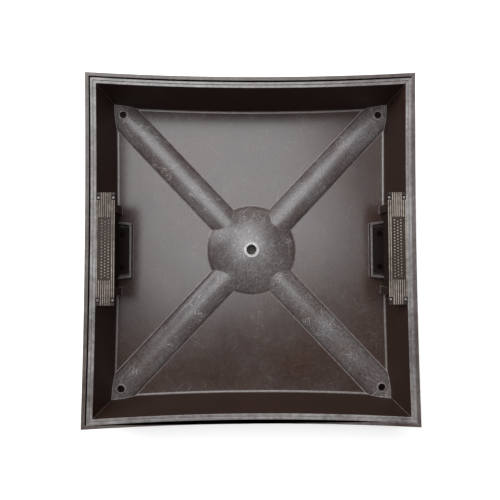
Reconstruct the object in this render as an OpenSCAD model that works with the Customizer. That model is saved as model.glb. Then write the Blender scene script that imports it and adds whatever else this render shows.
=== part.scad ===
// Recessed access cover: a deep moulded tray for paving, screwed into a matching frame.
// The frame beds in mortar on its base flange, and the tray rests on a seal on the frame's ledge.
// A grip plate on each side of the tray pulls straight up to lift it, until its lugs meet their stops.
// Origin: middle of the base. +Z is up, X runs across the cover and Y along it.

/* [Frame] */
// Width of the frame across its rim, at the corners
frame_w = 450; // [430:1:520]
// Length of the frame along its rim, at the corners
frame_l = 478; // [450:1:560]
// Height of the frame, from the base to the rim
frame_h = 80; // [76:1:95]
// Width of the frame's rim
frame_rim = 5; // [4:0.5:7]
// Height of the rim's bead
frame_bead_h = 6; // [4:0.5:10]
// Thickness of the frame's upright wall
frame_wall = 3.5; // [2.5:0.5:4]
// Inward bow at the middle of the frame's long sides
frame_bow_x = 2.6; // [0.5:0.1:4]
// Inward bow at the middle of the frame's short sides
frame_bow_y = 6.5; // [0.5:0.1:7]
// Thickness of the base flange and of the ledge
base_t = 6; // [5:0.5:6.5]
// How far the base flange stands out from the rim
flange_out = 20; // [18:1:26]
// Width of the ledge that carries the tray
ledge_in = 30; // [24:1:34]
// Size of the corner plates of the ledge
ledge_corner = 44; // [40:1:60]
// Radius of the anchor holes in the base flange
anchor_r = 4.5; // [3:0.5:5]
// Thickness of the buttresses outside the wall
buttress_t = 4; // [3:0.5:6]
// Height of the buttresses above the flange
buttress_h = 58; // [30:1:60]
// Buttresses on each side of the frame
buttress_n = 5; // [3:1:7]

/* [Tray] */
// Gap between the tray's rim and the frame
rim_gap = 1.3; // [1.2:0.1:2]
// How far the tray has slid across its frame, towards +X
tray_slip_x = 1; // [0:0.1:1]
// How far the tray has slid along its frame, towards -Y
tray_slip_y = 1; // [0:0.1:1]
// Width of the tray's rim
tray_rim = 7.4; // [6:0.1:10]
// Height of the rim's edge
tray_rim_h = 6; // [4:0.5:10]
// Width of the groove along the rim
groove_w = 1.3; // [0.8:0.1:2]
// Depth of the groove along the rim
groove_d = 1.2; // [0.6:0.1:2]
// Thickness of the tray's walls
tray_wall = 3.2; // [2.5:0.1:4]
// Slope of the tray's walls, in degrees
draft = 6; // [4:0.5:7]
// Inward bow at the middle of the tray's long sides
tray_bow_x = 2.8; // [0.5:0.1:4]
// Inward bow at the middle of the tray's short sides
tray_bow_y = 6.8; // [0.5:0.1:8]
// Thickness of the tray's floor
floor_t = 3.5; // [3:0.1:5]
// Size of the fillet where the walls meet the floor
floor_fillet = 3; // [2:0.5:4]
// Thickness of the seal under the tray
seal_t = 2.5; // [2:0.1:4]
// Width of the seal
seal_w = 8; // [6:0.5:9]
// How far the seal lies in from the edge of the tray's underside
seal_in = 1.5; // [1:0.1:3]

/* [Ribs and dome] */
// Width of the raised ribs at the floor
rib_w = 46; // [36:1:52]
// Height of the raised ribs
rib_h = 9.5; // [9:0.5:14]
// Radius of the dome at the floor
dome_r = 68; // [58:1:78]
// Height of the dome
dome_h = 20; // [18:0.5:24]
// Distance of the corner screws from the recess's long walls, at the floor
screw_in_x = 13; // [12:0.5:18]
// Distance of the corner screws from the recess's short walls, at the floor
screw_in_y = 15.5; // [13:0.5:20]
// Radius of the raised ring round each corner screw
ring_r = 6.7; // [6.4:0.1:8]
// Height of the raised ring above the rib
ring_h = 0.8; // [0.4:0.1:1.5]
// Radius of the lifting socket's flange
socket_flange_r = 11; // [10.5:0.1:13]
// Thickness of the lifting socket's flange
socket_flange_t = 2; // [1:0.1:3]
// Radius of the lifting socket's body
socket_r = 9.6; // [9:0.1:10]
// Radius of the lifting socket's bore
socket_bore_r = 7.5; // [6:0.1:8]

/* [Handles] */
// Length of a grip plate
plate_l = 151; // [146:1:165]
// Depth of a grip plate, from its inner edge to the rim
plate_d = 24; // [22:0.5:27]
// Thickness of a grip plate
plate_t = 3.2; // [2.5:0.1:4]
// Gap between a grip plate and the tray's rim
plate_gap = 0.5; // [0.4:0.1:1.5]
// How far a grip plate's top lies below the rim
plate_drop = 0.8; // [0.8:0.1:2]
// Length of the ribbed field at each end of a grip plate
grip_l = 33; // [26:1:36]
// Ribs across a grip plate
grip_n = 9; // [5:1:11]
// Width of a grip rib
grip_w = 1.1; // [0.8:0.1:1.4]
// Height of a grip rib
grip_h = 0.7; // [0.3:0.1:0.8]
// Length of each notch in a grip plate's edges
notch_l = 6.7; // [5:0.1:8]
// Depth of each notch
notch_d = 4.4; // [3.6:0.1:5.5]
// Distance from a grip plate's end to its notches
notch_end = 3.4; // [2.5:0.1:5]
// Distance from a grip plate's ends to the edges of the web under it
web_end = 17.5; // [17:0.5:24]
// Thickness of the web
web_t = 4; // [3:0.1:4.5]
// How far the web's lugs stand out at its sides
lug_out = 4; // [3:0.1:5]
// Height of the web's lugs
lug_h = 8; // [6:0.5:12]
// How far a handle lifts
lift = 37; // [20:1:37]
// Running clearance of the handles
slide_gap = 0.4; // [0.3:0.05:0.6]

/* [Floor pockets] */
// Length of the pocket under each grip plate
pocket_l = 80; // [74:1:86]
// Height of the pocket's wall above the floor
pocket_h = 10; // [8:0.5:14]
// Thickness of the pocket's wall
pocket_wall = 2.6; // [2:0.1:3.5]
// Depth of the pocket, from its wall to the web
pocket_d = 19.5; // [17:0.5:21]
// How far each end wall flares outward
pocket_flare = 2.5; // [0:0.1:4]
// Height of the pad in the pocket
pad_h = 2; // [1.5:0.1:3]
// Length of the rest block in the pocket
block_l = 68; // [60:1:70]
// Height of the rest block
block_h = 5.5; // [5:0.1:7]
// Distance between the rest block's two screws
block_pitch = 49; // [36:1:54]

/* [Fasteners] */
// Radius of a corner screw's shank
screw_r = 3; // [2.5:0.1:3.2]
// Radius of a corner screw's head
head_r = 5; // [4.5:0.1:5.2]
// Height of a corner screw's head
head_h = 6; // [4:0.5:6.5]
// How far the head lies below the raised ring
head_sink = 3.4; // [2:0.1:5]
// Width of the hexagon socket across its flats
hex_af = 5; // [4:0.5:6]
// Radius of the threaded inserts in the frame
insert_r = 4.5; // [4.2:0.1:5]
// Radius of a block screw's shank
block_screw_r = 1.9; // [1.6:0.1:2.2]
// Radius of a block screw's head
block_head_r = 3.8; // [3.2:0.1:4]
// Height of a block screw's head
block_head_h = 2.4; // [1.8:0.1:2.8]

/* [Hidden] */
$fn = 48;

// Points along each bowed side, and the corners' rounding as a share of the half size
side_steps = 12;
corner_share = 0.003;
// Overshoot of a cut past a face
past = 1;
// Clearance of a screw or insert in its hole, on the radius
screw_fit = 0.4;
thread_fit = 0.05;

// Frame: half sizes at the rim and at the wall's inner face, and the bow as a share of them
frame_half = [frame_w / 2, frame_l / 2];
frame_in = frame_half - [frame_rim, frame_rim];
frame_bow = [frame_bow_x / frame_half.x, frame_bow_y / frame_half.y];
ledge_half = frame_in - [ledge_in, ledge_in];
flange_half = frame_half + [flange_out, flange_out];
anchor_at = frame_half + [flange_out, flange_out] / 2;

// Tray: half sizes at the rim, the bow as a share of them, and where its middle lies
tray_half = frame_in - [rim_gap, rim_gap];
tray_bow = [tray_bow_x / tray_half.x, tray_bow_y / tray_half.y];
tray_at = [tray_slip_x, -tray_slip_y, 0];
tray_z = base_t + seal_t;
floor_z = tray_z + floor_t;

// How far the recess's wall lies in from the rim's outline at a height, half the size of the recess there,
// and the place of its long wall's middle
function wall_in(z) = tray_rim + (frame_h - z) * tan(draft);
function cavity_half(z) = tray_half - [1, 1] * wall_in(z);
function wall_x(z) = tray_half.x - tray_bow_x - wall_in(z);

// Fine lines across the rim's corners
mitre_w = 0.8;
mitre_d = 0.6;

// Ribs and dome: round forms whose centres lie below the floor
screw_x = cavity_half(floor_z).x - screw_in_x;
screw_y = cavity_half(floor_z).y - screw_in_y;
rib_r = (rib_h * rib_h + rib_w * rib_w / 4) / (2 * rib_h);
rib_z = floor_z + rib_h - rib_r;
rib_angle = atan2(screw_y, screw_x);
dome_round = (dome_h * dome_h + dome_r * dome_r) / (2 * dome_h);
dome_z = floor_z + dome_h - dome_round;
boss_r = socket_r + 4;
// The dome's top is flat where the socket's flange sits
seat_z = dome_z + sqrt(pow(dome_round, 2) - pow(socket_flange_r + past, 2));
socket_z = floor_z + past;

// Corner screws
ring_z = floor_z + rib_h + ring_h;
head_z = ring_z - head_sink - head_h;
screw_end_z = past;

// Handles, on the +X side
plate_out = wall_x(frame_h) - plate_gap;
plate_in = plate_out - plate_d;
plate_top = frame_h - plate_drop;
plate_z = plate_top - plate_t;
guide_top = plate_z - slide_gap;
pad_z = floor_z + pad_h;
block_top = pad_z + block_h;
foot_t = 1.7;
foot_in = 1.2;
web_z = pad_z + foot_t + slide_gap;
web_out = wall_x(web_z) - slide_gap;
web_in = web_out - web_t;
web_w = plate_l - 2 * web_end;
notch_y = plate_l / 2 - notch_end - notch_l / 2;
lug_stop_z = web_z + lug_h + lift;

// Guides of the handles
guide_lip = 2.7;
guide_side = 3.5;
guide_depth = 4;
fin_t = 3;
fin_low_z = 34;
fin_edge_h = 5;
tip_w = 2.6;
tip_gap = 0.7;

// Middle of the long wall's thickness at a height, where whatever grows from the wall ends
function wall_core_x(z) = wall_x(z) + tray_wall / 2;

// Pockets and rest blocks, with the screws' place as a share of the block's depth
screw_share = 0.62;
pocket_x = web_in - pocket_d;
block_in = pocket_x + pocket_wall + slide_gap;
block_out = web_in - slide_gap;
block_screw_x = block_in + (block_out - block_in) * screw_share;
block_screw_end = tray_z + past;

// Colours of the mouldings, the rubber, the screws and the metal inserts
plastic_colour = [0.22, 0.19, 0.18];
rubber_colour = [0.08, 0.08, 0.08];
screw_colour = [0.12, 0.12, 0.13];
metal_colour = [0.72, 0.70, 0.66];

// Corners of the cover, anticlockwise from the first quarter
corners = [[1, 1], [-1, 1], [-1, -1], [1, -1]];

// One bowed side of a square of half size 1 with the round corner after it, turned by quarters
function turn(p, quarters) = quarters == 0 ? p : turn([-p.y, p.x], quarters - 1);
function unit_side(bow) = concat(
    [for (i = [0:side_steps]) let (t = 2 * i / side_steps - 1)
        [1 - bow * (1 - t * t), (1 - corner_share) * t]],
    [for (a = [22.5:22.5:67.5])
        [1 - corner_share + corner_share * cos(a), 1 - corner_share + corner_share * sin(a)]]);
function bowed(half, bow) = [for (q = [0:3], p = unit_side(bow[q % 2]))
    let (u = turn(p, q)) [half.x * u.x, half.y * u.y]];

// Straight block with a bowed outline
module bowed_block(low, high, half, bow)
    translate([0, 0, low])
        linear_extrude(height = high - low)
            polygon(bowed(half, bow));

// The tray's outline at its rim, with sharp corners, anticlockwise
tray_outline = [for (q = [0:3], i = [0:side_steps - 1]) let (
    t = 2 * i / side_steps - 1,
    u = turn([1 - tray_bow[q % 2] * (1 - t * t), t], q)) [tray_half.x * u.x, tray_half.y * u.y]];

// The same outline with each edge moved inward, so that walls drawn between two of them are flat
function across(a, b) = [b.y - a.y, a.x - b.x] / norm(b - a);
function tray_ring(depth) = let (n = len(tray_outline))
    [for (i = [0:n - 1]) let (
        p = tray_outline[i],
        before = across(tray_outline[(i + n - 1) % n], p),
        after = across(p, tray_outline[(i + 1) % n]))
        p - depth * (before + after) / (1 + before * after)];

// Solid through such outlines, from the lowest to the highest, each given as its height and its depth
module lofted(levels) {
    n = len(tray_outline);
    top = n * (len(levels) - 1);
    polyhedron(
        points = [for (level = levels, p = tray_ring(level[1])) [p.x, p.y, level[0]]],
        faces = concat(
            [for (k = [0:n:top - n], i = [0:n - 1]) let (j = (i + 1) % n)
                [k + i, k + n + i, k + n + j, k + j]],
            [[for (i = [0:n - 1]) i]],
            [[for (i = [n - 1:-1:0]) top + i]]));
}

module at_corner(i)
    translate(tray_at + [corners[i].x * screw_x, corners[i].y * screw_y, 0])
        children();

// Upright plate drawn as an outline of X and Z, with its middle at y
module upright(y, thickness)
    translate([0, y + thickness / 2, 0])
        rotate([90, 0, 0])
            linear_extrude(height = thickness)
                children();

// Frame

module ledge_opening()
    translate([0, 0, -past])
        linear_extrude(height = base_t + 2 * past)
            polygon([for (q = [0:3], end = [-1, 1]) let (
                half = q % 2 == 0 ? ledge_half : [ledge_half.y, ledge_half.x],
                p = [half.x, end * (half.y - ledge_corner)]) turn(p, q)]);

// Buttress outside the wall, drawn against a wall face at X = 0
module buttress() {
    foot_x = flange_out * 0.8;
    foot_h = 3;
    head_x = 2;
    rotate([90, 0, 0])
        linear_extrude(height = buttress_t, center = true)
            polygon([[-past, 0], [foot_x, 0], [foot_x, foot_h], [head_x, buttress_h], [-past, buttress_h]]);
}

// Buttresses along each side, the outer ones a little way in from the corners
module buttresses() {
    spread = 0.82;
    for (q = [0:3]) {
        across = q % 2 == 0;
        face = (across ? frame_half.x : frame_half.y) - frame_rim + frame_wall;
        run = across ? frame_l : frame_w;
        sag = across ? frame_bow_x : frame_bow_y;
        rotate([0, 0, 90 * q])
            for (i = [0:buttress_n - 1]) {
                t = (2 * i / (buttress_n - 1) - 1) * spread;
                translate([face - sag * (1 - t * t), t * run / 2, base_t])
                    buttress();
            }
    }
}

module frame()
    color(plastic_colour)
        difference() {
            union() {
                bowed_block(0, base_t, flange_half, frame_bow);
                bowed_block(0, frame_h, frame_in + [frame_wall, frame_wall], frame_bow);
                bowed_block(frame_h - frame_bead_h, frame_h, frame_half, frame_bow);
                buttresses();
            }
            bowed_block(base_t, frame_h + past, frame_in, frame_bow);
            ledge_opening();
            for (c = corners)
                translate([c.x * anchor_at.x, c.y * anchor_at.y, -past])
                    cylinder(h = base_t + 2 * past, r = anchor_r);
            for (i = [0:3])
                at_corner(i)
                    translate([0, 0, -past])
                        cylinder(h = base_t + 2 * past, r = insert_r + thread_fit);
        }

module frame_insert(i)
    color(metal_colour)
        at_corner(i)
            difference() {
                cylinder(h = base_t, r = insert_r);
                translate([0, 0, -past])
                    cylinder(h = base_t + 2 * past, r = screw_r + thread_fit);
            }

// Seal, a flat rubber ring on the ledge

module seal() {
    outside = cavity_half(tray_z) + [tray_wall, tray_wall] - [seal_in, seal_in];
    color(rubber_colour)
        difference() {
            bowed_block(base_t, tray_z, outside, frame_bow);
            bowed_block(base_t - past, tray_z + past, outside - [seal_w, seal_w], frame_bow);
        }
}

// Tray

module tray_outside() {
    under_rim = frame_h - tray_rim_h;
    lofted([[tray_z, wall_in(tray_z) - tray_wall], [under_rim, wall_in(under_rim) - tray_wall],
            [under_rim, 0], [frame_h, 0]]);
}

// The recess that the paving fills, with a fillet where its walls meet the floor
module recess() {
    turn_steps = 3;
    top = frame_h + past;
    lofted(concat(
        [for (i = [0:turn_steps]) let (angle = (90 - draft) * i / turn_steps)
            [floor_z + floor_fillet * (1 - cos(angle)) / (1 - cos(90 - draft)),
             wall_in(floor_z + floor_fillet) + floor_fillet * (cos(draft) - sin(angle))]],
        [[top, wall_in(top)]]));
}

// Groove between the rim's two beads
module rim_groove() {
    groove_in = (tray_rim - groove_w) / 2;
    translate([0, 0, frame_h - groove_d])
        linear_extrude(height = groove_d + past)
            difference() {
                polygon(tray_ring(groove_in));
                polygon(tray_ring(groove_in + groove_w));
            }
}

// Fine line across the rim at each corner, where its four sides meet
module mitre_lines()
    for (q = [0:3]) {
        half = q % 2 == 0 ? tray_half : [tray_half.y, tray_half.x];
        rotate([0, 0, 90 * q])
            translate([half.x - tray_rim, half.y - tray_rim, frame_h - mitre_d])
                rotate([0, 0, 45])
                    translate([-past, -mitre_w / 2, 0])
                        cube([tray_rim * 2, mitre_w, frame_h]);
    }

// Two long round bars that cross in the middle, and the ball that makes the dome
module bars_and_ball(shell, reach) {
    for (a = [rib_angle, -rib_angle])
        translate([0, 0, rib_z])
            rotate([0, 0, a])
                rotate([0, 90, 0])
                    cylinder(h = 2 * reach, r = rib_r - shell, center = true);
    translate([0, 0, dome_z])
        sphere(r = dome_round - shell, $fn = 96);
}

// The ribs and the dome, whose top is cut flat for the socket's flange
module ribs_and_dome()
    difference() {
        bars_and_ball(0, frame_l);
        translate([0, 0, seat_z])
            cylinder(h = dome_h, r = socket_flange_r + past);
    }

// Outline of a pocket from its wall towards the tray's wall, drawn in by a wall's thickness
module pocket_outline(reach, wall) {
    half = pocket_l / 2 - wall;
    polygon([[wall, -half], [reach, -half - pocket_flare], [reach, half + pocket_flare], [wall, half]]);
}

// Low wall round the rest block, which stops short of the web, and the pad that runs under both
module pocket()
    translate([pocket_x, 0, floor_z - past]) {
        difference() {
            linear_extrude(height = pocket_h + past)
                pocket_outline(pocket_d - slide_gap, 0);
            linear_extrude(height = pocket_h + 2 * past)
                pocket_outline(pocket_d, pocket_wall);
        }
        linear_extrude(height = pad_h + past)
            pocket_outline(wall_core_x(floor_z) - pocket_x, past);
    }

// Channel for one edge of a handle's web, closed at the top so that the web's lug stops there,
// and the fin beside it, whose two tips stand in the grip plate's notches
module guide(end) {
    edge = web_w / 2 + slide_gap;
    lug_room = edge + lug_out;
    low = web_in - slide_gap;
    slot = web_t + 2 * slide_gap;
    inner = low - guide_lip;
    foot = floor_z - past;
    mirror([0, end < 0 ? 1 : 0, 0]) {
        difference() {
            upright(edge + (lug_out + guide_side - guide_depth) / 2, guide_depth + lug_out + guide_side)
                polygon([[inner, foot], [wall_core_x(foot), foot],
                         [wall_core_x(guide_top), guide_top], [inner, guide_top]]);
            translate([low, edge - guide_depth - past, floor_z])
                cube([slot, guide_depth + past, frame_h]);
            translate([low, edge - past, floor_z])
                cube([slot, lug_out + past, lug_stop_z - floor_z]);
        }
        upright(notch_y, fin_t)
            polygon([[plate_in + tip_gap, guide_top], [plate_in + tip_gap, guide_top - fin_edge_h],
                     [wall_core_x(fin_low_z), fin_low_z], [wall_core_x(guide_top), guide_top]]);
        for (x = [plate_in + tip_gap, plate_out - tip_gap - tip_w])
            translate([x, notch_y - fin_t / 2, guide_top - past])
                cube([tip_w, fin_t, plate_top - guide_top + past]);
    }
}

// Hollows under the ribs and the dome, which leave them as shells, with a boss under the socket
module underside_hollows()
    difference() {
        bars_and_ball(tray_wall, norm([screw_x, screw_y]) - ring_r - tray_wall);
        cylinder(h = frame_h, r = boss_r);
    }

module tray()
    color(plastic_colour)
        translate(tray_at)
            difference() {
                union() {
                    difference() {
                        tray_outside();
                        difference() {
                            recess();
                            ribs_and_dome();
                        }
                    }
                    for (c = corners)
                        translate([c.x * screw_x, c.y * screw_y, floor_z - past])
                            cylinder(h = ring_z - floor_z + past, r = ring_r);
                    for (side = [0, 1])
                        mirror([side, 0, 0]) {
                            pocket();
                            guide(-1);
                            guide(1);
                        }
                }
                rim_groove();
                mitre_lines();
                underside_hollows();
                translate([0, 0, socket_z])
                    cylinder(h = dome_h, r = socket_r + thread_fit);
                for (c = corners)
                    translate([c.x * screw_x, c.y * screw_y, 0]) {
                        cylinder(h = frame_h, r = screw_r + screw_fit);
                        translate([0, 0, head_z])
                            cylinder(h = frame_h, r = head_r + screw_fit);
                    }
                for (x = [-1, 1], y = [-1, 1])
                    translate([x * block_screw_x, y * block_pitch / 2, block_screw_end - thread_fit])
                        cylinder(h = pad_z, r = block_screw_r + thread_fit);
            }

// Threaded metal socket in the dome, for the lifting key
module lifting_socket()
    color(metal_colour)
        translate(tray_at)
            difference() {
                union() {
                    translate([0, 0, socket_z])
                        cylinder(h = seat_z - socket_z + past, r = socket_r);
                    translate([0, 0, seat_z])
                        cylinder(h = socket_flange_t, r = socket_flange_r);
                }
                translate([0, 0, socket_z - past])
                    cylinder(h = frame_h, r = socket_bore_r);
            }

// Socket-head screw through the end of a rib into the frame's insert
module corner_screw(i)
    color(screw_colour)
        at_corner(i)
            difference() {
                union() {
                    translate([0, 0, screw_end_z])
                        cylinder(h = head_z - screw_end_z + past, r = screw_r);
                    translate([0, 0, head_z])
                        cylinder(h = head_h, r = head_r);
                }
                translate([0, 0, head_z + head_h / 2])
                    cylinder(h = head_h, r = hex_af / sqrt(3), $fn = 6);
            }

// Handles, drawn on the +X side

module on_side(side)
    translate(tray_at)
        mirror([side < 0 ? 1 : 0, 0, 0])
            children();

// Lengthwise ribs at both ends of the grip plate, with the outer ones running through
module grip_ribs() {
    pitch = (plate_d - grip_w) / (grip_n - 1);
    for (i = [0:grip_n - 1]) {
        x = plate_in + i * pitch;
        notched = x < plate_in + notch_d || x + grip_w > plate_out - notch_d;
        through = i < 2 || i > grip_n - 2;
        reach = notched ? notch_y - notch_l / 2 : plate_l / 2;
        if (through)
            translate([x, -reach, plate_top])
                cube([grip_w, 2 * reach, grip_h]);
        else
            for (end = [0, 1])
                mirror([0, end, 0])
                    translate([x, plate_l / 2 - grip_l, plate_top])
                        cube([grip_w, reach - plate_l / 2 + grip_l, grip_h]);
    }
}

// Plain rows of pips on the flat panel between the ribbed ends
module grip_pips() {
    rows = 3;
    row_pitch = 4.4;
    pip_pitch = 4;
    pip_r = 0.9;
    count = floor((plate_l - 2 * grip_l - pip_pitch) / pip_pitch);
    middle = (plate_in + plate_out) / 2 + grip_w / 2;
    for (row = [0:rows - 1], i = [0:count - 1 - row % 2])
        translate([middle + (row - (rows - 1) / 2) * row_pitch,
                   (i - (count - 1 - row % 2) / 2) * pip_pitch, plate_top])
            cylinder(h = grip_h, r = pip_r, $fn = 16);
}

module handle(side) {
    web_gusset = 9;
    color(plastic_colour)
        on_side(side) {
            difference() {
                translate([plate_in, -plate_l / 2, plate_z])
                    cube([plate_d, plate_l, plate_t]);
                for (x = [plate_in - past, plate_out - notch_d], end = [-1, 1])
                    translate([x, end * notch_y - notch_l / 2, plate_z - past])
                        cube([notch_d + past, notch_l, plate_t + 2 * past]);
            }
            grip_ribs();
            grip_pips();
            translate([web_in, -web_w / 2, web_z])
                cube([web_t, web_w, plate_z - web_z + past]);
            for (end = [0, 1])
                mirror([0, end, 0])
                    translate([web_in, web_w / 2 - past, web_z])
                        cube([web_t, lug_out + past - slide_gap, lug_h - slide_gap]);
            for (y = [-1, 0, 1])
                upright(y * web_w / 3, fin_t)
                    polygon([[web_in + past, plate_z + past], [web_in - web_gusset, plate_z + past],
                             [web_in - web_gusset, plate_z], [web_in, plate_z - web_gusset],
                             [web_in + past, plate_z - web_gusset]]);
        }
}

// Block that the web stands on, held down by two screws
module rest_block(side)
    color(plastic_colour)
        on_side(side)
            difference() {
                union() {
                    translate([block_in, -block_l / 2, pad_z])
                        cube([block_out - block_in, block_l, block_h]);
                    translate([block_out - past, -block_l / 2, pad_z])
                        cube([web_out - foot_in - block_out + past, block_l, foot_t]);
                }
                for (y = [-1, 1])
                    translate([block_screw_x, y * block_pitch / 2, pad_z - past])
                        cylinder(h = block_h + 2 * past, r = block_screw_r + screw_fit);
            }

// Cross-head screw of a rest block
module block_screw(side, end) {
    cross_l = block_head_r * 1.2;
    cross_w = 1;
    color(screw_colour)
        on_side(side)
            translate([block_screw_x, end * block_pitch / 2, 0])
                difference() {
                    union() {
                        translate([0, 0, block_screw_end])
                            cylinder(h = block_top - block_screw_end + past, r = block_screw_r);
                        translate([0, 0, block_top])
                            cylinder(h = block_head_h, r = block_head_r);
                    }
                    for (a = [0, 90])
                        rotate([0, 0, a])
                            translate([-cross_l / 2, -cross_w / 2, block_top + block_head_h / 2])
                                cube([cross_l, cross_w, block_head_h]);
                }
}

frame();
seal();
tray();
lifting_socket();
corner_screw(0);  // corner_screw_1
corner_screw(1);  // corner_screw_2
corner_screw(2);  // corner_screw_3
corner_screw(3);  // corner_screw_4
frame_insert(0);  // frame_insert_1
frame_insert(1);  // frame_insert_2
frame_insert(2);  // frame_insert_3
frame_insert(3);  // frame_insert_4
handle(-1);  // handle_left
handle(1);  // handle_right
rest_block(-1);  // rest_block_left
rest_block(1);  // rest_block_right
block_screw(1, 1);  // block_screw_1
block_screw(-1, 1);  // block_screw_2
block_screw(-1, -1);  // block_screw_3
block_screw(1, -1);  // block_screw_4
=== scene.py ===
import math
import bpy
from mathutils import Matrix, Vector


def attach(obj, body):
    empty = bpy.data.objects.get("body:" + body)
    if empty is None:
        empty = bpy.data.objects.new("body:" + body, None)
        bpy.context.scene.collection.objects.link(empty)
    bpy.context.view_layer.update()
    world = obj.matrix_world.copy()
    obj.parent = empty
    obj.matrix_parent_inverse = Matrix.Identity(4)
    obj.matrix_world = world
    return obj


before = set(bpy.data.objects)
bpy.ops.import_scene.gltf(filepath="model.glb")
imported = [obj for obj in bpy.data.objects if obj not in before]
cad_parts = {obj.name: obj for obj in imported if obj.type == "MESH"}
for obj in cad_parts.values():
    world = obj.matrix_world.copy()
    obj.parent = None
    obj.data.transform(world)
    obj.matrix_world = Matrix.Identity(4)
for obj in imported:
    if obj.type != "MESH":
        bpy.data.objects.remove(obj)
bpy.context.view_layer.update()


# Frame
# The square surround that stays in the ground, with a flange and buttresses for the mortar.
# It is moulded in one shot from recycled black-brown polypropylene, and its rim is scuffed pale.

def linear(hexa):
    """An sRGB colour such as #3a2419, as the linear values that a node takes."""
    parts = [int(hexa[i:i + 2], 16) / 255 for i in (1, 3, 5)]
    return [v / 12.92 if v <= 0.04045 else ((v + 0.055) / 1.055) ** 2.4 for v in parts] + [1.0]


def add(tree, kind, inputs=None, **settings):
    """Adds a node, whose inputs are values or links, under a socket's name or number. On a map range,
    1 and 2 are the ends of the range it reads, and 3 and 4 of the one it gives. Noise lies about 0.5,
    mostly from 0.3 to 0.7, so a range read there takes it whole, and one near 0.7 only its peaks."""
    new = tree.nodes.new("ShaderNode" + kind)
    for key, value in settings.items():
        setattr(new, key, value)
    for socket, value in (inputs or {}).items():
        if isinstance(value, bpy.types.NodeSocket):
            tree.links.new(value, new.inputs[socket])
        else:
            new.inputs[socket].default_value = value
    return new


def new_material(name):
    material = bpy.data.materials.new(name)
    material.use_nodes = True
    material.node_tree.nodes.clear()
    return material, material.node_tree


def scratches(tree, place, turn, length, width, least, most):
    """Straight scratches, turned about Z: noise drawn out to a length and a width in metres, of which
    only what is above least shows, and wholly from most. It changes slowly with height, over 30 mm,
    so that scratches run on over a step."""
    depth = 0.03
    drawn = add(tree, "Mapping", {0: place, "Rotation": (0, 0, turn), "Scale": (length, width, depth)},
                vector_type="TEXTURE").outputs[0]
    noise = add(tree, "TexNoise", {"Vector": drawn, "Scale": 1.0, "Detail": 0.0}).outputs[0]
    return add(tree, "MapRange", {0: noise, 1: least, 2: most}).outputs[0]


def grit_and_sheen_film(tree, place, level, raised, near_socket, patches, grit_and_sheen):
    """The pale film on what faces up, as thick as the last argument says: haze of grit, and also painted
    sheen of the light. It is thicker on high ground, where it paints light on the ribs and dome, and
    round the socket's mouth, where the key strikes, as scuffing and also a painted glint. It is
    speckled at about 3 mm, coarser than real so that it shows."""
    # Thicker film on high ground is painted light on the ribs and dome, and near the socket's mouth it
    # is scuffing and a painted glint together
    on_high_ground, scuff_and_glint_near_socket = 4.9, 0.22
    thin_patch = 0.4 * grit_and_sheen
    patchy = add(tree, "MapRange", {0: patches, 1: 0.36, 2: 0.66, 3: thin_patch, 4: grit_and_sheen}).outputs[0]
    speckle = add(tree, "TexNoise", {"Vector": place, "Scale": 380.0, "Detail": 3.0, "Roughness": 0.7})
    speckle = speckle.outputs[0]
    speckle = add(tree, "MapRange", {0: speckle, 1: 0.3, 2: 0.7, 3: 0.35, 4: 1.65}).outputs[0]
    thicker = add(tree, "MapRange", {0: raised, 3: 1.0, 4: on_high_ground}).outputs[0]
    film = level
    for part in (patchy, speckle, thicker):
        film = add(tree, "Math", {0: film, 1: part}, operation="MULTIPLY").outputs[0]
    film = add(tree, "Math", {0: near_socket, 1: scuff_and_glint_near_socket, 2: film}, operation="MULTIPLY_ADD",
               use_clamp=True)
    return film.outputs[0]


def scratch_marks(tree, place, level, raised, near_socket):
    """Scratches on what faces up, about 0.5 mm wide so that they show, and chips of about 1 mm. Each
    set lies in zones about 30 mm across, and is denser on high ground and where the key strikes."""
    on_low_ground, on_high_ground = 0.12, 0.7
    fade = 0.14
    denser = add(tree, "MapRange", {0: raised, 3: on_low_ground, 4: on_high_ground}).outputs[0]
    zones = add(tree, "TexNoise", {"Vector": place, "Scale": 30.0, "Detail": 3.0}).outputs["Color"]
    zones = add(tree, "SeparateXYZ", {0: zones}).outputs
    chips = add(tree, "TexNoise", {"Vector": place, "Scale": 700.0, "Detail": 2.0}).outputs[0]
    chips = add(tree, "MapRange", {0: chips, 1: 0.68, 2: 0.76}).outputs[0]
    sets = [(1, 0.46, chips)]
    for zone, turn, length, width in ((0, 1.5, 0.018, 0.0005), (1, 0.85, 0.012, 0.0005),
                                      (2, -0.65, 0.014, 0.0005), (0, 0.1, 0.010, 0.0006)):
        sets.append((zone, 0.52, scratches(tree, place, turn, length, width, 0.70, 0.80)))
    marks = 0.0
    for zone, least, cuts in sets:
        here = add(tree, "MapRange", {0: zones[zone], 1: least, 2: least + fade, 4: denser}).outputs[0]
        here = add(tree, "Math", {0: here, 1: near_socket}, operation="MAXIMUM").outputs[0]
        cuts = add(tree, "Math", {0: cuts, 1: here}, operation="MULTIPLY").outputs[0]
        marks = add(tree, "Math", {0: cuts, 1: marks}, operation="MAXIMUM").outputs[0]
    return add(tree, "Math", {0: marks, 1: level}, operation="MULTIPLY").outputs[0]


# The key strikes the tray round the lifting socket's mouth and scratches it, and there the pale film
# # is also a painted glint: most within 14 mm of its middle, and not at all past 50 mm
socket_mouth = (0.001, -0.001, 0.032)
socket_reach_full, socket_reach_none = 0.014, 0.050
socket_most = 0.6


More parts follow.
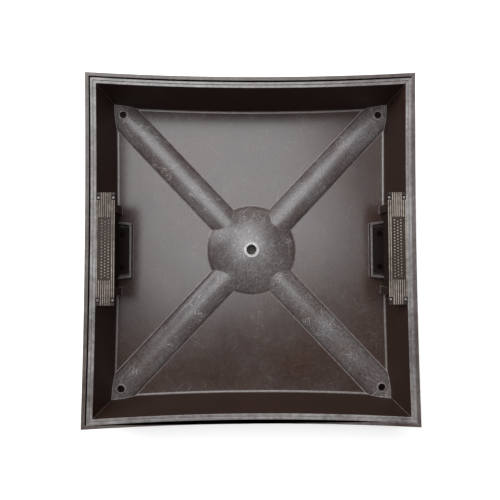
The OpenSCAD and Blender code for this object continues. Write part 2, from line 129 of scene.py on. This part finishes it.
def moulded_plastic(name, deep, brown, haze, olive, chalk, grit_and_sheen, wear_and_glint, rubbed_and_glint, rough, fillet_highlight=0.0,
                    high_ground=(0.2, 0.3), rims=(0.0785, 0.0791), soft=0.0009, shine=0.5):
    """Dark thermoplastic as it leaves the mould: a low gloss, an IOR of 1.5 and edges rounded by soft.
    Its pigment is clouded from deep to brown, and a pale film on what faces up from haze to olive,
    which is haze of grit and also painted sheen of the light. Scratches, edges and rims are turned
    towards chalk, and the edges are worn pale and also painted highlights. The film is as thick as
    the first amount after chalk says, the pale marks go as far as the second, and rims as far as the
    third too, which on the grips' crests is also a painted highlight; the amount after rough adds a
    painted highlight along the fillets at the feet of walls and ribs. High ground and rims are pairs
    of heights, where they start and where they are complete, and the high ground that stands here is
    above every piece."""
    material, tree = new_material(name)
    place = add(tree, "TexCoord").outputs["Object"]
    height = add(tree, "SeparateXYZ", {0: place}).outputs[2]
    raised = add(tree, "MapRange", {0: height, 1: high_ground[0], 2: high_ground[1]}).outputs[0]
    normal = add(tree, "NewGeometry").outputs["Normal"]
    up = add(tree, "SeparateXYZ", {0: normal}).outputs[2]
    # A face counts as level from a slope of 75 degrees, and wholly so from 37
    level = add(tree, "MapRange", {0: up, 1: 0.25, 2: 0.8}, interpolation_type="SMOOTHSTEP").outputs[0]
    # Nearness to the socket's mouth: it adds scratches, and pale film that is also a painted glint
    near_socket = add(tree, "VectorMath", {0: place, 1: socket_mouth}, operation="DISTANCE").outputs["Value"]
    near_socket = add(tree, "MapRange", {0: near_socket, 1: socket_reach_none, 2: socket_reach_full, 4: socket_most}).outputs[0]
    # Clouds in the pigment, about 60 mm across, and patches of wear and haze up to 100 mm across
    clouds = add(tree, "TexNoise", {"Vector": place, "Scale": 16.0, "Detail": 5.0, "Roughness": 0.6})
    clouds = clouds.outputs[0]
    patches = add(tree, "TexNoise", {"Vector": place, "Scale": 10.0, "Detail": 9.0, "Roughness": 0.7})
    patches = patches.outputs[0]
    pigment = add(tree, "MixRGB", {0: clouds, 1: linear(deep), 2: linear(brown)}).outputs[0]
    grit_and_sheen_colour = add(tree, "MixRGB", {0: clouds, 1: linear(haze), 2: linear(olive)}).outputs[0]
    # The pale film is haze of grit and also painted sheen of the light on what faces up
    film = grit_and_sheen_film(tree, place, level, raised, near_socket, patches, grit_and_sheen)
    with_grit_and_sheen = add(tree, "MixRGB", {0: film, 1: pigment, 2: grit_and_sheen_colour}).outputs[0]
    # A painted highlight, in the pale colour of the worn marks, along the fillets at the foot of the
    #     # tray's walls and ribs, where they turn up from the floor by 10 to 22 degrees
    fillet_low, fillet_high = 0.0124, 0.0138
    foot = add(tree, "MapRange", {0: height, 1: fillet_high, 2: fillet_low}).outputs[0]
    steep = add(tree, "MapRange", {0: up, 1: 0.985, 2: 0.93}).outputs[0]
    for part in (steep, fillet_highlight):
        foot = add(tree, "Math", {0: foot, 1: part}, operation="MULTIPLY").outputs[0]
    # Rims and tops, paler in the patches that hands and shoes have worn; on the grips' crests this
    #     # paleness is also a painted highlight, and it leaves their grooves dark as painted shade
    untouched, well_worn = 0.3, 1.25
    rim = add(tree, "MapRange", {0: height, 1: rims[0], 2: rims[1], 4: rubbed_and_glint}).outputs[0]
    handled = add(tree, "MapRange", {0: patches, 1: 0.4, 2: 0.6, 3: untouched, 4: well_worn}).outputs[0]
    rim = add(tree, "Math", {0: rim, 1: handled}, operation="MULTIPLY").outputs[0]
    # Edges, where the rounded surface turns away from the face by 8 to 37 degrees, worn pale and also
    #     # painted highlights, as on the rims' beads, joined by the rims and the painted fillet line,
    #     and in
    #     # all of these nicks of about 6 mm, which take up to a third off
    rounded = add(tree, "Bevel", {"Radius": soft}, samples=4).outputs[0]
    turned = add(tree, "VectorMath", {0: rounded, 1: normal}, operation="DOT_PRODUCT").outputs["Value"]
    edge = add(tree, "MapRange", {0: turned, 1: 0.99, 2: 0.80}).outputs[0]
    for part in (rim, foot):
        edge = add(tree, "Math", {0: edge, 1: part}, operation="MAXIMUM").outputs[0]
    nicks = add(tree, "TexNoise", {"Vector": place, "Scale": 160.0, "Detail": 3.0}).outputs[0]
    nicks = add(tree, "MapRange", {0: nicks, 1: 0.35, 2: 0.65, 3: 0.65, 4: 1.0}).outputs[0]
    edge = add(tree, "Math", {0: edge, 1: nicks}, operation="MULTIPLY").outputs[0]
    marks = scratch_marks(tree, place, level, raised, near_socket)
    wear_and_glint_mask = add(tree, "Math", {0: marks, 1: edge}, operation="MAXIMUM").outputs[0]
    wear_and_glint_mask = add(tree, "Math", {0: wear_and_glint_mask, 1: wear_and_glint}, operation="MULTIPLY").outputs[0]
    # Towards chalk: wear on scratches and rims, wear and painted highlight on edges, painted highlight
    # along the fillets
    colour = add(tree, "MixRGB", {0: wear_and_glint_mask, 1: with_grit_and_sheen, 2: linear(chalk)}).outputs[0]
    # The roughness of a level face varies in patches about the value rough. Steep faces, high ground,
    # chalk and long streaks along Y are rougher
    steep_face = 0.30
    smooth_patch, rough_patch = rough - 0.06, rough + 0.04
    streaks = scratches(tree, place, 1.57, 0.060, 0.0016, 0.3, 0.7)
    gloss = add(tree, "MapRange", {0: patches, 1: 0.3, 2: 0.7, 3: smooth_patch + steep_face,
                                   4: rough_patch + steep_face}).outputs[0]
    for part, rougher in ((streaks, 0.018), (raised, 0.07), (level, -steep_face), (wear_and_glint_mask, 0.35)):
        gloss = add(tree, "Math", {0: part, 1: rougher, 2: gloss}, operation="MULTIPLY_ADD").outputs[0]
    gloss = add(tree, "Clamp", {0: gloss}).outputs[0]
    # Spark-eroded mould grain, about 0.7 mm, and the scratches cut in it
    grain = add(tree, "TexNoise", {"Vector": place, "Scale": 1400.0, "Detail": 2.0}).outputs[0]
    cut = add(tree, "Math", {0: grain, 1: marks}, operation="SUBTRACT").outputs[0]
    bump = add(tree, "Bump", {"Strength": 0.15, "Distance": 0.0004, "Height": cut, "Normal": rounded})
    surface = add(tree, "BsdfPrincipled", {"Base Color": colour, "Roughness": gloss,
                                           "Normal": bump.outputs[0], "IOR": 1.5,
                                           "Specular IOR Level": shine})
    add(tree, "OutputMaterial", {0: surface.outputs[0]})
    return material


def finish_node(name, material):
    """Gives a node of the CAD model its finish, in every material slot."""
    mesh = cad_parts[name].data
    for i in range(len(mesh.materials)):
        mesh.materials[i] = material


frame_polypropylene = moulded_plastic(
    "recycled_polypropylene_frame", deep="#241109", brown="#3a2419", haze="#8a8a8f", olive="#7b786f",
    chalk="#bdb4b0", grit_and_sheen=0.12, wear_and_glint=0.55, rubbed_and_glint=0.27, rough=0.40)
finish_node("frame", frame_polypropylene)


# Threaded inserts
# Turned brass bushes pressed into the frame's ledge, which take the corner screws.
# Tarnished to a dull yellow-brown by the damp.

def tarnished_brass():
    """Brass turned on a lathe, its shine dulled by brown tarnish in blotches about 2 mm across."""
    material, tree = new_material("tarnished_brass")
    place = add(tree, "TexCoord").outputs["Object"]
    blotches = add(tree, "TexNoise", {"Vector": place, "Scale": 500.0, "Detail": 4.0}).outputs[0]
    colour = add(tree, "MixRGB", {0: blotches, 1: linear("#c9a25a"), 2: linear("#6f5230")}).outputs[0]
    rough = add(tree, "MapRange", {0: blotches, 3: 0.25, 4: 0.55}).outputs[0]
    surface = add(tree, "BsdfPrincipled", {"Base Color": colour, "Roughness": rough, "Metallic": 1.0})
    add(tree, "OutputMaterial", {0: surface.outputs[0]})
    return material


brass = tarnished_brass()
for number in range(1, 5):
    finish_node(f"frame_insert_{number}", brass)


# Seal
# A flat ring punched from EPDM rubber sheet, which lies on the ledge under the tray.
# Matt black with a bloom of grey.

def epdm_rubber():
    """EPDM sheet: matt and close to black, with a grey bloom in clouds of about 17 mm, and a skin
    like orange peel, its dimples about 1 mm across."""
    material, tree = new_material("epdm_rubber")
    place = add(tree, "TexCoord").outputs["Object"]
    bloom = add(tree, "TexNoise", {"Vector": place, "Scale": 60.0, "Detail": 6.0}).outputs[0]
    colour = add(tree, "MixRGB", {0: bloom, 1: linear("#141414"), 2: linear("#2e2d2b")}).outputs[0]
    skin = add(tree, "TexNoise", {"Vector": place, "Scale": 900.0}).outputs[0]
    bump = add(tree, "Bump", {"Strength": 0.2, "Distance": 0.0003, "Height": skin}).outputs[0]
    surface = add(tree, "BsdfPrincipled", {"Base Color": colour, "Roughness": 0.75, "Normal": bump})
    add(tree, "OutputMaterial", {0: surface.outputs[0]})
    return material


finish_node("seal", epdm_rubber())


# Tray
# The cover itself: a deep pan with four ribs that meet in a dome, moulded from the same polypropylene.
# Its floor is hazed by sand, thicker on the ribs and dome, a pale film which also paints the sheen of
# # the light; a pale line along the feet of walls and ribs is a painted highlight; and its ribs, dome
# # and rim are scratched by handling.

floor_top = 0.0120
half_way_up_ribs = 0.0165
# Haze and olive make the pale film, grit and painted sheen of the light; the fillet amount paints a
# highlight along the feet of walls and ribs
tray_polypropylene = moulded_plastic(
    "moulded_polypropylene_tray", deep="#24110a", brown="#3b2419", haze="#9b9ca3", olive="#848078",
    chalk="#e3dedb", grit_and_sheen=0.08, wear_and_glint=0.75, rubbed_and_glint=0.28, rough=0.25, fillet_highlight=0.4,
    high_ground=(floor_top + 0.0001, half_way_up_ribs))
finish_node("tray", tray_polypropylene)


# Lifting socket
# A threaded steel bush in the dome, which takes the lifting key. It is turned and zinc plated,
# and soil has washed into the bottom of its bore.

def zinc_plate():
    """Zinc on turned steel: pale grey, dulled by the damp in dark spots of about 1.5 mm."""
    material, tree = new_material("zinc_plated_steel")
    place = add(tree, "TexCoord").outputs["Object"]
    spots = add(tree, "TexNoise", {"Vector": place, "Scale": 700.0, "Detail": 5.0}).outputs[0]
    colour = add(tree, "MixRGB", {0: spots, 1: linear("#a5a4a2"), 2: linear("#474340")}).outputs[0]
    rough = add(tree, "MapRange", {0: spots, 3: 0.3, 4: 0.6}).outputs[0]
    surface = add(tree, "BsdfPrincipled", {"Base Color": colour, "Roughness": rough, "Metallic": 1.0})
    add(tree, "OutputMaterial", {0: surface.outputs[0]})
    return material


zinc = zinc_plate()
finish_node("lifting_socket", zinc)

# The thread in the bore: the section of its ridge, whose half widths are in pitches, is wound up from
# the low end to the high one. The ridge is sunk in the bore's wall by the play, and the soil in the
# bore stands off that wall by as much
socket_middle = socket_mouth[:2]
bore_radius = 0.0075
play = 0.0001
thread_depth = 0.0009
thread_pitch = 0.0020
root_half, crest_half = 0.42, 0.08
thread_low, thread_high = 0.0140, 0.0312
bpy.ops.object.select_all(action="DESELECT")
bpy.ops.mesh.primitive_circle_add(vertices=4, radius=0.5, fill_type="NGON")
thread = bpy.context.active_object
thread.name = "socket_thread"
root, crest = bore_radius + play, bore_radius - thread_depth
section = ((root, -root_half), (root, root_half), (crest, crest_half), (crest, -crest_half))
for corner, (reach, rise) in zip(thread.data.vertices, section):
    corner.co = (reach, 0, thread_low + thread_pitch * (0.5 + rise))
screw = thread.modifiers.new("screw", "SCREW")
screw.angle = math.radians(360)
screw.screw_offset = thread_pitch
screw.iterations = int((thread_high - thread_low) / thread_pitch) - 1
screw.steps = screw.render_steps = 40
screw.use_merge_vertices = True
screw.merge_threshold = 0.00001
bpy.ops.object.modifier_apply(modifier="screw")
bpy.ops.object.mode_set(mode="EDIT")
bpy.ops.mesh.select_all(action="SELECT")
bpy.ops.mesh.fill_holes(sides=4)
bpy.ops.mesh.normals_make_consistent(inside=False)
bpy.ops.transform.translate(value=(*socket_middle, 0))
bpy.ops.object.mode_set(mode="OBJECT")
thread.data.materials.append(zinc)
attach(thread, "cover")


def damp_soil():
    """Soil that has washed into the bore: dark grey-brown, with pale grains of about 1 mm."""
    material, tree = new_material("damp_soil")
    place = add(tree, "TexCoord").outputs["Object"]
    grains = add(tree, "TexVoronoi", {"Vector": place, "Scale": 900.0}).outputs["Distance"]
    pale = add(tree, "MapRange", {0: grains, 1: 0.28, 2: 0.1}).outputs[0]
    colour = add(tree, "MixRGB", {0: pale, 1: linear("#3a332e"), 2: linear("#8d8781")}).outputs[0]
    bump = add(tree, "Bump", {"Strength": 0.6, "Distance": 0.0005, "Height": pale}).outputs[0]
    surface = add(tree, "BsdfPrincipled", {"Base Color": colour, "Roughness": 0.7, "Normal": bump})
    add(tree, "OutputMaterial", {0: surface.outputs[0]})
    return material


# The soil is a short cylinder, whose top is inset in rings and then, but for its edge, hollowed
# and rippled
soil_low, soil_height = 0.0131, 0.0065
rings = (0.0012, 0.0014, 0.0016)
hollow, ripple = 0.0016, 0.0005
bpy.ops.object.select_all(action="DESELECT")
bpy.ops.mesh.primitive_cylinder_add(vertices=48, radius=bore_radius - play, depth=soil_height,
                                    location=(*socket_middle, soil_low + soil_height / 2))
soil = bpy.context.active_object
soil.name = "bore_soil"
bpy.ops.object.transform_apply(location=True, rotation=True, scale=True)
soil_top = max(corner.co.z for corner in soil.data.vertices)
for face in soil.data.polygons:
    face.select = face.normal.z > 0.9
bpy.ops.object.mode_set(mode="EDIT")
bpy.ops.mesh.select_mode(type="FACE")
for width in rings:
    bpy.ops.mesh.inset(thickness=width)
bpy.ops.mesh.poke()
bpy.ops.object.mode_set(mode="OBJECT")
middle = Vector((*socket_middle, soil_top))
for corner in soil.data.vertices:
    reach = (corner.co - middle).length / bore_radius
    if corner.co.z > soil_top - play and reach < 0.95:
        turn = math.atan2(corner.co.y - middle.y, corner.co.x - middle.x)
        corner.co.z -= hollow * (1 - reach) + ripple * math.sin(3 * turn + 9 * reach) * (1 - reach)
bpy.ops.object.shade_smooth_by_angle(angle=math.radians(40))
soil.data.materials.append(damp_soil())
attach(soil, "cover")


# Corner screws
# Hexagon-socket screws that hold the tray down to the frame's inserts.
# Black oxide on steel, with rust starting in spots.

def black_oxide():
    """Black oxide on steel: a dark satin skin, brown and dull in spots of about 1 mm where it rusts."""
    material, tree = new_material("black_oxide_steel")
    place = add(tree, "TexCoord").outputs["Object"]
    spots = add(tree, "TexNoise", {"Vector": place, "Scale": 900.0, "Detail": 4.0}).outputs[0]
    rust = add(tree, "MapRange", {0: spots, 1: 0.5, 2: 0.72}).outputs[0]
    colour = add(tree, "MixRGB", {0: rust, 1: linear("#201c1a"), 2: linear("#3d261b")}).outputs[0]
    rough = add(tree, "MapRange", {0: rust, 3: 0.35, 4: 0.8}).outputs[0]
    surface = add(tree, "BsdfPrincipled", {"Base Color": colour, "Roughness": rough, "Metallic": 1.0})
    add(tree, "OutputMaterial", {0: surface.outputs[0]})
    return material


oxide = black_oxide()
for number in range(1, 5):
    finish_node(f"corner_screw_{number}", oxide)


# Rest blocks
# A small moulded block in each floor pocket, with a foot that runs under the handle's web.
# Black nylon, held down by two black cross-head screws. Its colours are darkened to near black as
# # painted shade for the shadow under the handle.

# Deep and brown here are near black as painted shade, for the handle's shadow over the block
block_nylon_painted_shade = moulded_plastic(
    "moulded_nylon_block_painted_shade", deep="#0f0705", brown="#1a0f0b", haze="#5f5753", olive="#4c463c",
    chalk="#8a807a", grit_and_sheen=0.01, wear_and_glint=0.15, rubbed_and_glint=0.0, rough=0.75, shine=0.2)
for side in ("left", "right"):
    finish_node(f"rest_block_{side}", block_nylon_painted_shade)
for number in range(1, 5):
    finish_node(f"block_screw_{number}", oxide)


# Handles
# A grip plate on each side, with a web under it that slides up in the tray's channels. Moulded in
# # glass-filled nylon, with ribbed ends and rows of pips for the fingers, all rubbed pale on top, which
# # is also a painted highlight on the crests and leaves the grooves dark as painted shade.

pip_side, pip_top = 0.0794, 0.0799
# The pale tops from pip_side up are rubbed wear and painted highlight together; the grooves below keep
# the dark pigment as painted shade
grip_nylon = moulded_plastic(
    "glass_filled_nylon_grip", deep="#1c110c", brown="#32231b", haze="#7c716a", olive="#6b6253",
    chalk="#d0c2b6", grit_and_sheen=0.02, wear_and_glint=0.75, rubbed_and_glint=0.7, rough=0.58, soft=0.0002, shine=0.3,
    high_ground=(pip_side - 0.0001, pip_top), rims=(pip_side, pip_top))
for side in ("left", "right"):
    finish_node(f"handle_{side}", grip_nylon)


# Floor of the studio
# A pale sheet of paper, half a millimetre under the cover, which takes its soft shadow. To the
# camera, and in glossy and clear surfaces, it also glows, which makes it white.

bpy.ops.object.select_all(action="DESELECT")
bpy.ops.mesh.primitive_plane_add(size=3, location=(0, 0, -0.0005))
studio_floor = bpy.context.active_object
studio_floor.name = "studio_floor"
bpy.ops.object.transform_apply(location=True, rotation=True, scale=True)
paper, tree = new_material("studio_paper")
rays = add(tree, "LightPath").outputs
seen = rays["Is Camera Ray"]
for kind in ("Is Glossy Ray", "Is Transmission Ray"):
    seen = add(tree, "Math", {0: seen, 1: rays[kind]}, operation="MAXIMUM").outputs[0]
glow = add(tree, "Emission", {"Color": (1, 1, 1, 1), "Strength": 0.45}).outputs[0]
matt = add(tree, "BsdfDiffuse", {"Color": linear("#e8e8e6")}).outputs[0]
both = add(tree, "AddShader", {0: matt, 1: glow}).outputs[0]
plain = add(tree, "MixShader", {0: seen, 1: matt, 2: both}).outputs[0]
add(tree, "OutputMaterial", {0: plain})
studio_floor.data.materials.append(paper)


# Light
# Cool daylight from a wide soft source high over the cover's top edge, and from a window off to the
# top left. The world is white to the camera and through anything clear, and a dim warm fill elsewhere.

world = bpy.data.worlds.new("studio_world")
bpy.context.scene.world = world
world.use_nodes = True
tree = world.node_tree
tree.nodes.clear()
rays = add(tree, "LightPath").outputs
seen = {0: rays["Is Camera Ray"], 1: rays["Is Transmission Ray"]}
seen = add(tree, "Math", seen, operation="MAXIMUM").outputs[0]
fill = add(tree, "Background", {"Color": (1.0, 0.88, 0.80, 1), "Strength": 0.10}).outputs[0]
white = add(tree, "Background", {"Color": (1, 1, 1, 1), "Strength": 1.0}).outputs[0]
mixed = add(tree, "MixShader", {0: seen, 1: fill, 2: white}).outputs[0]
add(tree, "OutputWorld", {0: mixed})

for lamp_name, across, along, watts, place in (("soft_daylight", 1.2, 1.4, 30, (-0.14, 0.44, 1.5)),
                                               ("far_window", 1.0, 0.9, 17, (-1.5, 1.0, 1.2))):
    light = bpy.data.lights.new(lamp_name, "AREA")
    light.shape = "RECTANGLE"
    light.size = across
    light.size_y = along
    light.energy = watts
    light.color = (0.94, 0.97, 1.0)
    lamp = bpy.data.objects.new(lamp_name, light)
    lamp.location = place
    lamp.rotation_euler = (-lamp.location).to_track_quat("-Z", "Y").to_euler()
    bpy.context.scene.collection.objects.link(lamp)


# Camera
# Close to straight above the cover, a little off its middle. Its place, its tilt in degrees and its
# focal length in pixels set the corners of the rim and of the floor where the photograph has them.

picture_width = 500
focal_length = 404.24
tilt = (2.052, -0.641, -0.171)
lens = bpy.data.cameras.new("overhead_camera")
lens.sensor_width = 36
lens.lens = focal_length / picture_width * lens.sensor_width
camera = bpy.data.objects.new("overhead_camera", lens)
camera.location = (-0.0079, -0.0225, 0.6212)
camera.rotation_euler = [math.radians(degrees) for degrees in tilt]
bpy.context.scene.collection.objects.link(camera)
bpy.context.scene.camera = camera
bpy.context.scene.view_settings.view_transform = "Standard"
